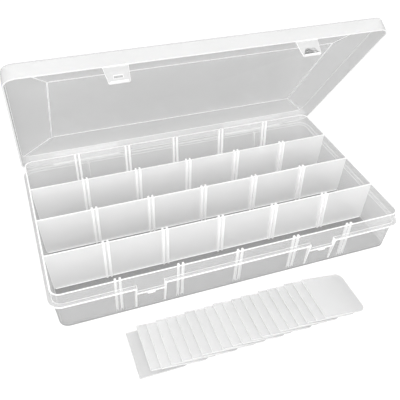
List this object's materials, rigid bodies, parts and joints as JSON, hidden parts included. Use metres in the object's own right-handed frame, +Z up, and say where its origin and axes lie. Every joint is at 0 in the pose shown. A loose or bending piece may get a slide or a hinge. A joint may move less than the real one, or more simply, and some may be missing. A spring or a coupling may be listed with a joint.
{
  "type": "tackle box",
  "caption": "Clear plastic compartment tackle box with a hinged lid standing open, snap latches, row partitions and loose slot-in dividers fanned out in front.",
  "frame": {"origin": "centre of the tray's flat underside", "axes": "+X along the long side to the right seen from the latches, +Y from the latches to the hinge, +Z up out of the tray"},
  "size_m": [0.356, 0.2887, 0.2135],
  "materials": {
    "tray_plastic": "clear moulded polypropylene, slightly milky, glossy",
    "lid_plastic": "clear moulded polypropylene, slightly milky, glossy",
    "hinge_plastic": "stress-whitened polypropylene",
    "divider_plastic": "clear moulded polypropylene, fine satin"
  },
  "bodies": {
    "tray": {"tray": "tray_plastic", "row_partition_front": "tray_plastic", "row_partition_middle": "tray_plastic", "row_partition_rear": "tray_plastic", "hinge_root_left": "hinge_plastic", "hinge_root_right": "hinge_plastic"},
    "lid": {"lid": "lid_plastic", "hinge_strip_left": "hinge_plastic", "hinge_strip_right": "hinge_plastic"},
    "latch_left": {"latch_left": "lid_plastic"},
    "latch_right": {"latch_right": "lid_plastic"},
    "divider_01": {"divider_01": "divider_plastic"},
    "divider_02": {"divider_02": "divider_plastic"},
    "divider_03": {"divider_03": "divider_plastic"},
    "divider_04": {"divider_04": "divider_plastic"},
    "divider_05": {"divider_05": "divider_plastic"},
    "divider_06": {"divider_06": "divider_plastic"},
    "divider_07": {"divider_07": "divider_plastic"},
    "divider_08": {"divider_08": "divider_plastic"},
    "divider_09": {"divider_09": "divider_plastic"},
    "divider_10": {"divider_10": "divider_plastic"},
    "divider_11": {"divider_11": "divider_plastic"},
    "divider_12": {"divider_12": "divider_plastic"},
    "divider_13": {"divider_13": "divider_plastic"},
    "divider_14": {"divider_14": "divider_plastic"},
    "divider_15": {"divider_15": "divider_plastic"},
    "divider_16": {"divider_16": "divider_plastic"},
    "divider_17": {"divider_17": "divider_plastic"},
    "divider_18": {"divider_18": "divider_plastic"},
    "divider_19": {"divider_19": "divider_plastic"},
    "divider_20": {"divider_20": "divider_plastic"}
  },
  "joints": [
    {"name": "lid_hinge", "type": "hinge", "parent": "tray", "child": "lid", "pos_m": [0, 0.106, 0.03495], "axis": [-1, 0, 0], "range_deg": [-54.3, 125.7]},
    {"name": "latch_left_hinge", "type": "hinge", "parent": "lid", "child": "latch_left", "pos_m": [-0.0875, -0.01717, 0.20627], "axis": [-1, 0, 0], "range_deg": [-6, 80]},
    {"name": "latch_right_hinge", "type": "hinge", "parent": "lid", "child": "latch_right", "pos_m": [0.0875, -0.01717, 0.20627], "axis": [-1, 0, 0], "range_deg": [-6, 80]},
    {"name": "divider_01_slide", "type": "slide", "parent": "tray", "child": "divider_01", "axis": [0, -1, 0], "range_m": [0, 0.06]},
    {"name": "divider_02_slide", "type": "slide", "parent": "tray", "child": "divider_02", "axis": [0, -1, 0], "range_m": [0, 0.06]},
    {"name": "divider_03_slide", "type": "slide", "parent": "tray", "child": "divider_03", "axis": [0, -1, 0], "range_m": [0, 0.06]},
    {"name": "divider_04_slide", "type": "slide", "parent": "tray", "child": "divider_04", "axis": [0, -1, 0], "range_m": [0, 0.06]},
    {"name": "divider_05_slide", "type": "slide", "parent": "tray", "child": "divider_05", "axis": [0, -1, 0], "range_m": [0, 0.06]},
    {"name": "divider_06_slide", "type": "slide", "parent": "tray", "child": "divider_06", "axis": [0, -1, 0], "range_m": [0, 0.06]},
    {"name": "divider_07_slide", "type": "slide", "parent": "tray", "child": "divider_07", "axis": [0, -1, 0], "range_m": [0, 0.06]},
    {"name": "divider_08_slide", "type": "slide", "parent": "tray", "child": "divider_08", "axis": [0, -1, 0], "range_m": [0, 0.06]},
    {"name": "divider_09_slide", "type": "slide", "parent": "tray", "child": "divider_09", "axis": [0, -1, 0], "range_m": [0, 0.06]},
    {"name": "divider_10_slide", "type": "slide", "parent": "tray", "child": "divider_10", "axis": [0, -1, 0], "range_m": [0, 0.06]},
    {"name": "divider_11_slide", "type": "slide", "parent": "tray", "child": "divider_11", "axis": [0, -1, 0], "range_m": [0, 0.06]},
    {"name": "divider_12_slide", "type": "slide", "parent": "tray", "child": "divider_12", "axis": [0, -1, 0], "range_m": [0, 0.06]},
    {"name": "divider_13_slide", "type": "slide", "parent": "tray", "child": "divider_13", "axis": [0, -1, 0], "range_m": [0, 0.06]},
    {"name": "divider_14_slide", "type": "slide", "parent": "tray", "child": "divider_14", "axis": [0, -1, 0], "range_m": [0, 0.06]},
    {"name": "divider_15_slide", "type": "slide", "parent": "tray", "child": "divider_15", "axis": [0, -1, 0], "range_m": [0, 0.06]},
    {"name": "divider_16_slide", "type": "slide", "parent": "tray", "child": "divider_16", "axis": [0, -1, 0], "range_m": [0, 0.06]},
    {"name": "divider_17_slide", "type": "slide", "parent": "tray", "child": "divider_17", "axis": [0, -1, 0], "range_m": [0, 0.06]},
    {"name": "divider_18_slide", "type": "slide", "parent": "tray", "child": "divider_18", "axis": [0, -1, 0], "range_m": [0, 0.06]},
    {"name": "divider_19_slide", "type": "slide", "parent": "tray", "child": "divider_19", "axis": [0, -1, 0], "range_m": [0, 0.06]},
    {"name": "divider_20_slide", "type": "slide", "parent": "tray", "child": "divider_20", "axis": [0, -1, 0], "range_m": [0, 0.06]}
  ]
}
